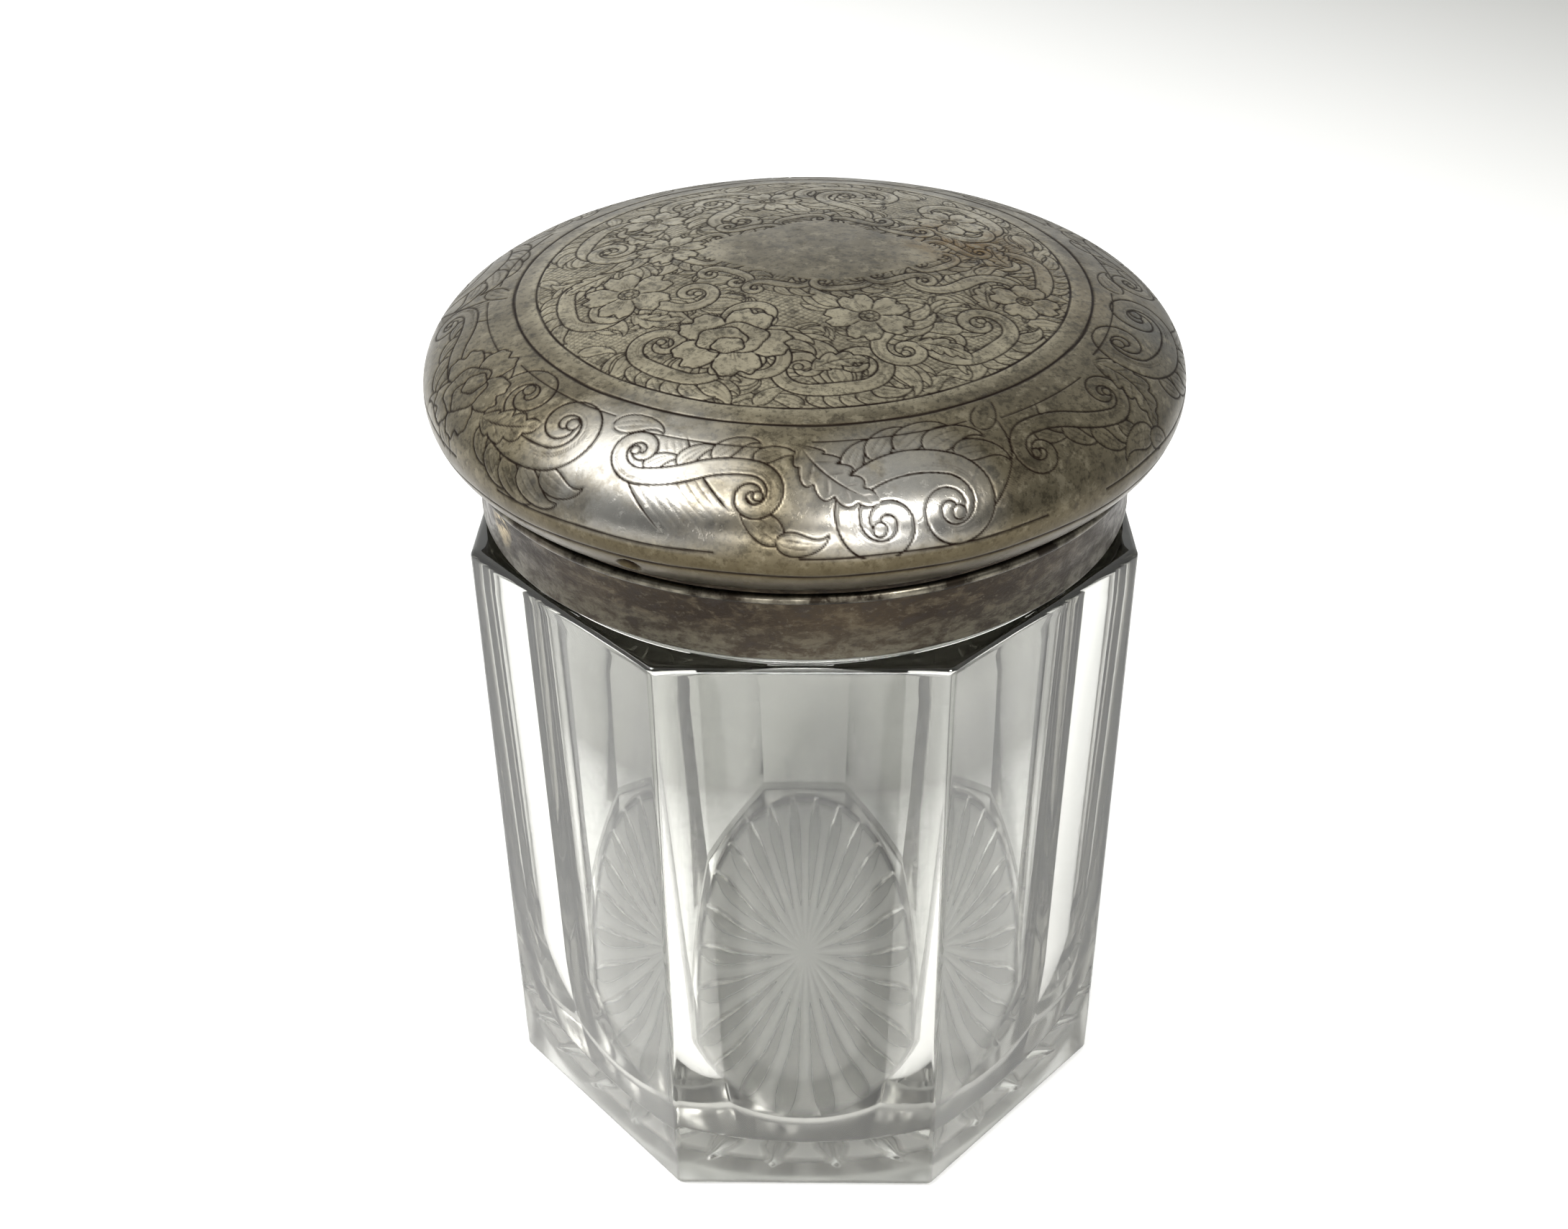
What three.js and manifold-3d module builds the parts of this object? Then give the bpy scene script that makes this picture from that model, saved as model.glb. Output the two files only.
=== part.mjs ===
// Octagonal glass dresser jar with a domed, engraved metal lid that lifts off.
// Millimetres, +Z up. The origin is the centre of the resting face, and a flat of the octagon faces -Y.
import * as THREE from 'three';
import { mergeVertices } from 'three/addons/utils/BufferGeometryUtils.js';
import Module from 'manifold-3d';

const wasm = await Module();
wasm.setup();

// Glass body
const BASE_HALF_FLATS = 40.0;      // half the distance between opposite flats at the foot
const TOP_HALF_FLATS = 38.46;      // the same at the shoulder: the body tapers upwards
const SHOULDER_HEIGHT = 84.8;
const EDGE_CHAMFER = 1.0;          // softened edges round the foot and the shoulder
const CORNER_CUT = 0.35;           // how much the upright edges are rounded back
const FLATS = 8;

// Neck and well
const NECK_RADIUS = 37.4;
const NECK_TOP = 93.3;
const RIM_ROUND = 1.0;
const MOUTH_RADIUS = 34.2;
const WELL_TOP_RADIUS = 34.9;      // the well draws in from here, under the shoulder, to its foot
const WELL_LOW_RADIUS = 34.0;
const WELL_CURVE_FROM = 24.0;      // below this height the wall curves inwards
const WELL_CURVE_RADIUS = 90.0;
const WELL_CORNER = 1.0;
const WELL_THROAT = 3.5;             // height of the slope from the well to the mouth
const WELL_FLOOR = 3.5;

// Pressed star under the base
const RAYS = 24;
const RAY_INNER_END = 3.0;
const RAY_FULL_WIDTH_AT = 20.0;
const RAY_ROUND_FROM = 29.0;
const RAY_OUTER_END = 33.5;
const RAY_DEPTH = 0.9;
const RAY_FILL = 0.93;             // share of the spacing between rays that a ray takes up
const RAY_SIDES = 8;

// Lid
const SHEET = 0.8;                 // thickness of the metal sheet
const SEAM_GAP = 0.3;              // clearance between neighbouring pieces
const DOME_TOP = 113.8;
const CROWN_RADIUS = 153.6;        // radius of the shallow crown
const CROWN_EDGE = 32.6;           // where the crown turns into the rolled edge
const ROLL_RADIUS = 43.75;         // widest point of the lid
const ROLL_HEIGHT = 101.4;
const DOME_FOOT_RADIUS = 39.6;
const DOME_FOOT_HEIGHT = 95.7;
const SKIRT_FOOT = 86.2;
const SKIRT_FOOT_RADIUS = 38.95;
const SKIRT_WAIST_RADIUS = 38.6;
const SKIRT_WAIST_HEIGHT = 88.6;
const SKIRT_TOP = 95.3;
const BEAD_SECTION = 0.6;          // radius of the half-hidden bead wire
const BEAD_HEIGHT = 94.6;
const PAN_RISE = 0.9;              // the pan under the dome bulges up this much
const VENT_RADIUS = 0.6;           // lets air out of the hollow lid when it is soldered
const VENT_SIDE_ANGLE = THREE.MathUtils.degToRad(27);
const VENT_POINT = { radius: 42.6, height: 98.0 };

const FINE = 72;                   // facets round a turned shape

const glass = new THREE.MeshStandardMaterial({
  name: 'clear_glass', color: 0xdfe6e4, roughness: 0.05, metalness: 0, transparent: true, opacity: 0.55,
});
const engravedMetal = new THREE.MeshStandardMaterial({
  name: 'engraved_metal', color: 0x8c877b, roughness: 0.35, metalness: 1,
});
const tarnishedMetal = new THREE.MeshStandardMaterial({
  name: 'tarnished_metal', color: 0x5f5548, roughness: 0.55, metalness: 1,
});
const innerMetal = new THREE.MeshStandardMaterial({
  name: 'inner_metal', color: 0x9a958a, roughness: 0.45, metalness: 1,
});

const point = (radius, height) => new THREE.Vector2(radius, height);

// A closed solid from a three.js geometry: shared corners merged, collapsed triangles dropped, faces outward.
function solid(geometry) {
  const plain = geometry.clone();
  plain.deleteAttribute('normal');
  plain.deleteAttribute('uv');
  const merged = mergeVertices(plain, 1e-4);
  const place = merged.getAttribute('position');
  const index = merged.getIndex().array;
  const corner = (i) => new THREE.Vector3().fromBufferAttribute(place, i);
  const triangles = [];
  let volume = 0;
  for (let i = 0; i < index.length; i += 3) {
    const [a, b, c] = [index[i], index[i + 1], index[i + 2]];
    if (a === b || b === c || c === a) continue;
    triangles.push(a, b, c);
    volume += corner(a).dot(corner(b).cross(corner(c)));
  }
  if (volume < 0) triangles.reverse();
  return new wasm.Manifold(new wasm.Mesh({
    numProp: 3,
    vertProperties: new Float32Array(place.array),
    triVerts: new Uint32Array(triangles),
  }));
}

function geometryOf(manifold) {
  const mesh = manifold.getMesh();
  const geometry = new THREE.BufferGeometry();
  geometry.setAttribute('position', new THREE.Float32BufferAttribute(mesh.vertProperties, mesh.numProp));
  geometry.setIndex(new THREE.Uint32BufferAttribute(mesh.triVerts, 1));
  geometry.computeVertexNormals();
  return geometry;
}

// A profile of (radius, height) points turned about +Z.
function turned(profile, sides = FINE, startAngle = 0) {
  const lathe = new THREE.LatheGeometry(profile, sides, startAngle, Math.PI * 2);
  lathe.rotateX(Math.PI / 2);
  return solid(lathe);
}

function arc(centreRadius, centreHeight, radius, fromDegrees, toDegrees, steps) {
  const points = [];
  for (let i = 0; i <= steps; i += 1) {
    const angle = THREE.MathUtils.degToRad(fromDegrees + (toDegrees - fromDegrees) * i / steps);
    points.push(point(centreRadius + radius * Math.cos(angle), centreHeight + radius * Math.sin(angle)));
  }
  return points;
}

// The flat-sided body: corner radii are worked out from the distances across the flats.
function octagonalBlock() {
  const toCorner = 1 / Math.cos(Math.PI / FLATS);
  const taper = (BASE_HALF_FLATS - TOP_HALF_FLATS) / SHOULDER_HEIGHT;
  const halfFlats = (height) => BASE_HALF_FLATS - taper * height;
  const upperEdge = SHOULDER_HEIGHT - EDGE_CHAMFER;
  const outline = [
    point(0, 0),
    point(halfFlats(0) - EDGE_CHAMFER, 0),
    point(halfFlats(EDGE_CHAMFER), EDGE_CHAMFER),
    point(halfFlats(upperEdge), upperEdge),
    point(halfFlats(SHOULDER_HEIGHT) - EDGE_CHAMFER, SHOULDER_HEIGHT),
    point(0, SHOULDER_HEIGHT),
  ];
  const sharp = outline.map((p) => point(p.x * toCorner, p.y));
  const rounding = [
    point(0, -1),
    point(BASE_HALF_FLATS * toCorner - CORNER_CUT, -1),
    point(TOP_HALF_FLATS * toCorner - CORNER_CUT, SHOULDER_HEIGHT + 1),
    point(0, SHOULDER_HEIGHT + 1),
  ];
  return turned(sharp, FLATS, Math.PI / FLATS).intersect(turned(rounding));
}

function neck() {
  const rim = arc(NECK_RADIUS - RIM_ROUND, NECK_TOP - RIM_ROUND, RIM_ROUND, 0, 90, 3);
  const inside = SHOULDER_HEIGHT - 5;
  return turned([point(0, inside), point(NECK_RADIUS, inside), ...rim, point(0, NECK_TOP)]);
}

// Radius of the well's wall: a slight draft, then a long curve down to the corner of the floor.
function wellRadius(height) {
  const below = WELL_CURVE_FROM - height;
  if (below > 0) return WELL_LOW_RADIUS - below * below / (2 * WELL_CURVE_RADIUS);
  const draft = (WELL_TOP_RADIUS - WELL_LOW_RADIUS) / (SHOULDER_HEIGHT - WELL_CURVE_FROM);
  return WELL_LOW_RADIUS - draft * below;
}

function well() {
  const cornerHeight = WELL_FLOOR + WELL_CORNER;
  const lean = Math.atan((WELL_CURVE_FROM - cornerHeight) / WELL_CURVE_RADIUS);
  const wallFoot = cornerHeight - WELL_CORNER * Math.sin(lean);
  const cornerRadius = wellRadius(wallFoot) - WELL_CORNER * Math.cos(lean);
  const corner = arc(cornerRadius, cornerHeight, WELL_CORNER, -90, -THREE.MathUtils.radToDeg(lean), 5);
  const wall = [];
  const wallSteps = 4;
  for (let i = 1; i <= wallSteps; i += 1) {
    const height = wallFoot + (WELL_CURVE_FROM - wallFoot) * i / wallSteps;
    wall.push(point(wellRadius(height), height));
  }
  const underShoulder = point(WELL_TOP_RADIUS, SHOULDER_HEIGHT - WELL_THROAT);
  const throat = point(MOUTH_RADIUS, SHOULDER_HEIGHT);
  const flare = arc(MOUTH_RADIUS + RIM_ROUND, NECK_TOP - RIM_ROUND, RIM_ROUND, 180, 90, 3);
  const above = NECK_TOP + 2;
  const mouth = MOUTH_RADIUS + RIM_ROUND;
  return turned([
    point(0, WELL_FLOOR),
    ...corner,
    ...wall,
    underShoulder,
    throat,
    ...flare,
    point(mouth, above),
    point(0, above),
  ]);
}

// One ray of the star: narrow at the centre of the base, widening outwards, with a round outer end.
function ray() {
  const widest = RAY_FILL * RAY_FULL_WIDTH_AT * Math.tan(Math.PI / RAYS);
  const roundEnd = arc(0, 0, 1, 0, 90, 3).map((p) => {
    return point(widest * p.x, RAY_ROUND_FROM + (RAY_OUTER_END - RAY_ROUND_FROM) * p.y);
  });
  const outline = [point(0, RAY_INNER_END), point(widest, RAY_FULL_WIDTH_AT), ...roundEnd];
  const geometry = new THREE.LatheGeometry(outline, RAY_SIDES);
  geometry.scale(1, 1, RAY_DEPTH / widest);
  return geometry;
}

function glassJar() {
  let body = octagonalBlock().add(neck()).subtract(well());
  for (let i = 0; i < RAYS; i += 1) {
    const cut = ray();
    cut.rotateZ((i + 0.5) * 2 * Math.PI / RAYS);
    body = body.subtract(solid(cut));
  }
  return geometryOf(body);
}

// Outer line of the dome, from its top down over the rolled edge to its turned-in foot.
function domeLine() {
  const crownHeight = (radius) => DOME_TOP - radius * radius / (2 * CROWN_RADIUS);
  const crown = [];
  const crownSteps = 5;
  for (let i = 0; i < crownSteps; i += 1) {
    const radius = CROWN_EDGE * i / crownSteps;
    crown.push(point(radius, crownHeight(radius)));
  }
  const edge = point(CROWN_EDGE, crownHeight(CROWN_EDGE));
  const slope = -CROWN_EDGE / CROWN_RADIUS;
  const reach = 5.9;
  const shoulder = new THREE.CubicBezierCurve(
    edge,
    point(edge.x + reach, edge.y + slope * reach),
    point(ROLL_RADIUS, ROLL_HEIGHT + 4.9),
    point(ROLL_RADIUS, ROLL_HEIGHT),
  );
  const underside = new THREE.CubicBezierCurve(
    point(ROLL_RADIUS, ROLL_HEIGHT),
    point(ROLL_RADIUS, ROLL_HEIGHT - 2.5),
    point(ROLL_RADIUS - 1.75, DOME_FOOT_HEIGHT + 1.2),
    point(DOME_FOOT_RADIUS, DOME_FOOT_HEIGHT),
  );
  return [...crown, ...shoulder.getPoints(9), ...underside.getPoints(6).slice(1)];
}

// The same line moved inwards by the thickness of the sheet.
function inset(line, distance) {
  return line.map((p, i) => {
    if (i === 0) return point(0, p.y - distance);
    const before = line[i - 1];
    const after = line[Math.min(i + 1, line.length - 1)];
    const along = after.clone().sub(before).normalize();
    return point(p.x + along.y * distance, p.y - along.x * distance);
  });
}

function lidDome() {
  const outside = domeLine();
  const inside = inset(outside, SHEET).reverse();
  const shell = turned([...outside, ...inside]);
  const vent = new THREE.CylinderGeometry(VENT_RADIUS, VENT_RADIUS, SHEET * 4, 12);
  vent.rotateX(Math.PI / 4);
  vent.translate(0, -VENT_POINT.radius, VENT_POINT.height);
  vent.rotateZ(-VENT_SIDE_ANGLE);
  return geometryOf(shell.subtract(solid(vent)));
}

// The skirt slips over the neck. Its foot flares a little and its waist is drawn in.
function lidSkirt() {
  const outside = [
    point(SKIRT_FOOT_RADIUS, SKIRT_FOOT),
    point(SKIRT_WAIST_RADIUS, SKIRT_WAIST_HEIGHT),
    point(SKIRT_WAIST_RADIUS, SKIRT_WAIST_HEIGHT + 3),
    point(SKIRT_WAIST_RADIUS + 0.2, SKIRT_TOP),
  ];
  const inside = outside.map((p) => point(p.x - SHEET, p.y)).reverse();
  return geometryOf(turned([...outside, ...inside, outside[0].clone()]));
}

function lidBead() {
  const centre = SKIRT_WAIST_RADIUS + 0.2 + SEAM_GAP + BEAD_SECTION;
  return geometryOf(turned(arc(centre, BEAD_HEIGHT, BEAD_SECTION, 0, 360, 10)));
}

// The pan closes the hollow dome from below and is what the rim of the neck carries.
function lidPan() {
  const edge = SKIRT_WAIST_RADIUS - SHEET - SEAM_GAP;
  const underside = NECK_TOP + SEAM_GAP;
  const flat = MOUTH_RADIUS - 2;
  return geometryOf(turned([
    point(0, underside + PAN_RISE),
    point(flat, underside + PAN_RISE),
    point(flat + 2, underside),
    point(edge, underside),
    point(edge, underside + SHEET),
    point(flat + 2, underside + SHEET),
    point(flat, underside + PAN_RISE + SHEET),
    point(0, underside + PAN_RISE + SHEET),
  ]));
}

function piece(name, geometry, material) {
  const mesh = new THREE.Mesh(geometry, material);
  mesh.name = name;
  return mesh;
}

const lid = new THREE.Group();
lid.add(piece('lid_dome', lidDome(), engravedMetal));
lid.add(piece('lid_skirt', lidSkirt(), tarnishedMetal));
lid.add(piece('lid_bead', lidBead(), tarnishedMetal));
lid.add(piece('lid_pan', lidPan(), innerMetal));

const jar = new THREE.Group();
jar.add(piece('glass_jar', glassJar(), glass));
jar.add(lid);

export default jar;
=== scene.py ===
# A lidded octagonal dresser jar: thick clear glass under a domed, engraved and tarnished metal lid.
# Sizes of the jar and its lid are in millimetres, and become metres when a mesh is made.
# Lights, the camera and the floor are placed in metres.
import math

import bmesh
import bpy
import numpy as np
from mathutils import Matrix, Vector


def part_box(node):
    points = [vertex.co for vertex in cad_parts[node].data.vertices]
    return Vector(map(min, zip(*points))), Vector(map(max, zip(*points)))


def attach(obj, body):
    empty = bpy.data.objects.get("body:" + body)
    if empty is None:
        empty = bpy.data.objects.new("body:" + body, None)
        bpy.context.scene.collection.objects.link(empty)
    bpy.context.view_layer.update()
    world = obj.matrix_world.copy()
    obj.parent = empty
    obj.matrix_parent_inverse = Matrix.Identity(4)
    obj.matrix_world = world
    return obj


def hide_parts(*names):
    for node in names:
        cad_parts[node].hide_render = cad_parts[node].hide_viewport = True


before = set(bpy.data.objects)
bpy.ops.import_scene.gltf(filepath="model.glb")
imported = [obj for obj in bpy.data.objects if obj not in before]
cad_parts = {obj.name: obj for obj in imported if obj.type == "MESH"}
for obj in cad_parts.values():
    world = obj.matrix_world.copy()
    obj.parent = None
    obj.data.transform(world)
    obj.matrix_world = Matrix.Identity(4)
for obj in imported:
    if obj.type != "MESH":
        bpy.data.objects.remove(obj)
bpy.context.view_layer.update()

MM = 0.001
TURN = 2 * math.pi
CORNER = math.pi / 8                   # from the middle of a flat to a corner of the octagon
AXIS = 0.02                            # radius of a ring that is as good as a point on the axis


def box_mm(node):
    return [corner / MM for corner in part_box(node)]


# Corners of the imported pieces
_, GLASS_HIGH = box_mm("glass_jar")
DOME_LOW, DOME_HIGH = box_mm("lid_dome")
SKIRT_LOW, SKIRT_HIGH = box_mm("lid_skirt")
PAN_LOW, PAN_HIGH = box_mm("lid_pan")
BEAD_LOW, BEAD_HIGH = box_mm("lid_bead")

# Glass body
INSET = 0.02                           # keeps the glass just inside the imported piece
TAPER = 1.54                           # how much each flat leans in by the shoulder
NECK_HEIGHT = 8.5
BASE_HALF_FLATS = GLASS_HIGH.x - INSET
TOP_HALF_FLATS = BASE_HALF_FLATS - TAPER
SHOULDER = GLASS_HIGH.z - NECK_HEIGHT
NECK_RADIUS = 37.4
MOUTH_RADIUS = 34.2
EDGE_ROUND = 1.0                       # rounding of the foot and the rim
UPRIGHT_ROUND = 1.3                    # rounding of the eight upright edges
SHOULDER_ROUND = 0.9
NECK_FOOT_ROUND = 0.3
THROAT_ROUND = 3.0                     # rounding where the well widens under the mouth
WELL_TOP_RADIUS = 34.9
WELL_LOW_RADIUS = 34.0
WELL_CURVE_FROM = 24.0                 # below this height the wall curves inwards
WELL_CURVE_RADIUS = 90.0
WELL_CORNER = 1.0                      # rounding between the wall and the floor
WELL_FLOOR = 3.5

# Star pressed into the underside
RAYS = 24
STAR_RADIUS = 33.8
STAR_DEPTH = 0.8
RAY_HALF_WIDTH = 3.2
RAY_FADE = 6.0                         # the last stretch of a ray, where it narrows to a round end
STAR_EYE = 4.0                         # the rays flatten out inside this radius
FOOT_INNER = 34.6                      # the flat foot starts at this radius

# Lid
SHEET = 0.8                            # thickness of the metal
CROWN_RADIUS = 153.6                   # radius of the shallow crown
CROWN_EDGE = 32.6                      # where the crown turns into the rolled edge
ROLL_BELOW_TOP = 12.4
ROLL_RADIUS = DOME_HIGH.x
ROLL_HEIGHT = DOME_HIGH.z - ROLL_BELOW_TOP
DOME_FOOT_RADIUS = 39.6
FINE_COLUMNS = 1440                    # points round the dome at its edge
RING_STEP = 0.15                       # distance between rings of points on the dome
PLATE_REACH = 60.0                     # half the width of the grid that holds the engraving
PLATE_CELL = 0.08
ENGRAVING_DEPTH = 0.06
ENGRAVING_GAIN = 1.35                  # deepens fine strokes to the full depth of a cut
VENT_DEGREES = -23.2
VENT_HEIGHT = 98.4
VENT_RADIUS = 1.25
VENT_DEPTH = 0.55
BAND_WAIST = 38.6
BAND_FLARE_FROM = 89.0                 # below this height the band widens to its foot

rng = np.random.default_rng(7)


# ---------------------------------------------------------------- meshes

def skin_faces(counts, closed=True):
    """Faces between rings of points, and over both ends where it is closed.

    A ring may have half or twice as many points as the one before.
    """
    faces = []
    starts = np.concatenate([[0], np.cumsum(counts)])
    for i in range(len(counts) - 1):
        a, b = int(counts[i]), int(counts[i + 1])
        lower = starts[i] + np.arange(a)
        upper = starts[i + 1] + np.arange(b)
        if a == b:
            quads = np.stack([lower, np.roll(lower, -1), np.roll(upper, -1), upper], 1)
            faces += quads.tolist()
            continue
        swap = a < b
        fine, coarse = (upper, lower) if swap else (lower, upper)
        even, odd, after = fine[0::2], fine[1::2], np.roll(fine[0::2], -1)
        beside = np.roll(coarse, -1)
        for corners in ((even, odd, coarse), (odd, beside, coarse), (odd, after, beside)):
            triangle = np.stack(corners[::-1] if swap else corners, 1)
            faces += triangle.tolist()
    if closed:
        faces.append(np.arange(counts[0])[::-1].tolist())
        faces.append((starts[-2] + np.arange(counts[-1])).tolist())
    return faces


def make_piece(name, points, faces, material, body, node):
    """A smooth-shaded mesh object, its faces outwards, that rides on a body and stands for a CAD node."""
    mesh = bpy.data.meshes.new(name)
    mesh.from_pydata((points * MM).tolist(), [], faces)
    mesh.update()
    mesh.shade_smooth()
    mesh.materials.append(material)
    work = bmesh.new()
    work.from_mesh(mesh)
    bmesh.ops.recalc_face_normals(work, faces=work.faces)
    work.to_mesh(mesh)
    work.free()
    piece = bpy.data.objects.new(name, mesh)
    bpy.context.scene.collection.objects.link(piece)
    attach(piece, body)
    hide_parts(node)
    return piece


def around(radius, height, angle):
    """Points from polar places; angle 0 is at the front (-Y) and grows towards +X."""
    return np.stack([radius * np.sin(angle), -radius * np.cos(angle), height + 0 * angle], 1)


def even_angles(count):
    return np.arange(count) * TURN / count


def quarter_turn(count, start=0.0):
    """(1 - cos, 1 - sin) over a quarter turn, which rounds an edge of radius 1."""
    return [(1 - math.cos(turn), 1 - math.sin(turn)) for turn in np.linspace(start, math.pi / 2, count)]


# ---------------------------------------------------------------- material helpers

class Nodes:
    """Short ways to add shader nodes to a tree. A tuple is a colour: (red, green, blue)."""

    def __init__(self, tree):
        self.tree = tree

    def feed(self, socket, value):
        if isinstance(value, bpy.types.NodeSocket):
            self.tree.links.new(value, socket)
        else:
            socket.default_value = (*value, 1) if isinstance(value, tuple) else value

    def node(self, kind, inputs, output, **settings):
        """One output of a new node, with its inputs fed by name or number."""
        made = self.tree.nodes.new(kind)
        for key, value in settings.items():
            setattr(made, key, value)
        for key, value in inputs.items():
            self.feed(made.inputs[key], value)
        return made.outputs[output]

    def fit(self, value, low, high, to_low=0.0, to_high=1.0):
        return self.node("ShaderNodeMapRange", {"Value": value, "From Min": low, "From Max": high,
                                                "To Min": to_low, "To Max": to_high}, "Result")

    def math(self, operation, a, b=0.0):
        return self.node("ShaderNodeMath", {0: a, 1: b}, "Value", operation=operation)

    def times(self, a, b):
        return self.math("MULTIPLY", a, b)

    def axes(self, vector):
        return [self.node("ShaderNodeSeparateXYZ", {"Vector": vector}, axis) for axis in "XYZ"]


class Shader(Nodes):
    """A Principled material whose patterns lie in the object's own space."""

    def __init__(self, name):
        self.material = bpy.data.materials.new(name)
        self.material.use_nodes = True
        super().__init__(self.material.node_tree)
        self.surface = self.tree.nodes["Principled BSDF"]
        self.place = self.node("ShaderNodeTexCoord", {}, "Object")

    def noise(self, scale, detail=4.0, rough=0.55, stretch=1, distort=0.0):
        """Soft noise, finer along Z where it is stretched by more than 1."""
        place = self.node("ShaderNodeMapping", {"Vector": self.place, "Scale": [1, 1, stretch]}, "Vector")
        return self.node("ShaderNodeTexNoise", {"Vector": place, "Scale": scale, "Detail": detail,
                                                "Roughness": rough, "Distortion": distort}, "Fac")

    def cells(self, scale):
        return self.node("ShaderNodeTexVoronoi", {"Vector": self.place, "Scale": scale}, "Distance")

    def ramp(self, value, start_mm, end_mm):
        """0 where a distance is at its start, or before it, and 1 from its end on."""
        return self.fit(value, start_mm * MM, end_mm * MM)

    def near(self, centre_mm, reach_mm, softness):
        """1 near a place on the object and 0 beyond its reach."""
        centre = [c * MM for c in centre_mm]
        away = self.node("ShaderNodeVectorMath", {0: self.place, 1: centre}, "Value", operation="DISTANCE")
        return self.ramp(away, reach_mm, reach_mm * (1 - softness))

    def tint(self, base, colour, mask, most=1.0):
        """The base with a colour laid over it where the mask is 1, up to the most that may cover it."""
        share = mask if most == 1.0 else self.times(mask, most)
        return self.node("ShaderNodeMix", {"Factor": share, "A": base, "B": colour}, "Result",
                         data_type="RGBA")

    def bump(self, height, distance_mm, strength):
        normal = self.node("ShaderNodeBump", {"Distance": distance_mm * MM, "Strength": strength,
                                              "Height": height}, "Normal")
        self.feed(self.surface.inputs["Normal"], normal)

    def finish(self, colour, rough, more):
        for name, value in {"Base Color": colour, "Roughness": rough, **more}.items():
            self.feed(self.surface.inputs[name], value)
        return self.material


# ---------------------------------------------------------------- materials

def clear_glass():
    """Old pressed glass, which greys light that travels far inside it.

    The star underneath is frosted, the low ground between its rays is worn white, and the outer ring of the
    star is painted dark as shadow.
    The wall of the well greys upwards, partly from a dirt layer and partly as painted shade under the lid,
    and the corner of its floor is painted dark as shade. The jar is one piece of glass with one material, so
    these places are found by their height and radius.
    """
    clear, frosted, white, rim = (0.93, 0.935, 0.92), (0.69, 0.69, 0.655), (1.0, 1.0, 0.985), (0.3, 0.3, 0.28)
    clean, film_and_shade_grey, throat_film_and_shade_grey = (0.97, 0.975, 0.955), (0.055, 0.055, 0.044), (0.13, 0.13, 0.115)
    corner_shade_grey = (0.34, 0.34, 0.32)
    shade = Shader("clear_glass")
    across, along, height = shade.axes(shade.place)
    radius = shade.math("SQRT", shade.math("ADD", shade.times(across, across), shade.times(along, along)))

    # The wall of the well greys upwards into the throat under the mouth: partly a dirt layer, partly painted
    # shade under the lid
    streaks = shade.noise(60, 3.0, 0.6, 0.3)
    film_and_shade = shade.times(shade.ramp(height, 50, 66), shade.fit(streaks, 0.3, 0.7, 0.9, 1.0))
    # Painted shade: the corner of the well's floor is darkened
    corner = shade.times(shade.ramp(radius, 29.8, 31.2), shade.ramp(height, 6.4, 4.6))
    wall = shade.tint(clean, film_and_shade_grey, film_and_shade)
    wall = shade.tint(wall, throat_film_and_shade_grey, shade.ramp(height, 76, 86))
    wall = shade.tint(wall, corner_shade_grey, corner)

    worn = shade.times(shade.ramp(height, 0.45, 0.06), shade.ramp(radius, 32.5, 30.5))
    star = shade.tint(frosted, white, worn)
    # Painted shadow: the outer ring of the star underneath is darkened
    star = shade.tint(star, rim, shade.ramp(radius, 31.0, 33.0))

    underneath = shade.ramp(height, 1.3, 1.1)
    in_well = shade.times(shade.ramp(radius, 35.3, 35.1), shade.ramp(height, 2.0, 2.2))
    colour = shade.tint(shade.tint(clear, star, underneath), wall, in_well)
    worn = shade.math("MAXIMUM", worn, shade.ramp(radius, 4.5, 3.0))
    frost = shade.times(underneath, shade.fit(worn, 0.0, 1.0, 0.16, 0.45))
    opaque = shade.times(underneath, worn)
    clearness = shade.fit(opaque, 0.0, 1.0, 1.0, 0.05)
    shade.bump(shade.noise(38, 1.0, 0.3, 0.25), 0.05, 0.25)
    depth = shade.node("ShaderNodeVolumeAbsorption", {"Color": (0.42, 0.41, 0.36), "Density": 34.0}, "Volume")
    shade.feed(shade.tree.nodes["Material Output"].inputs["Volume"], depth)
    return shade.finish(colour, frost, {"Transmission Weight": clearness, "IOR": 1.52})


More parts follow.
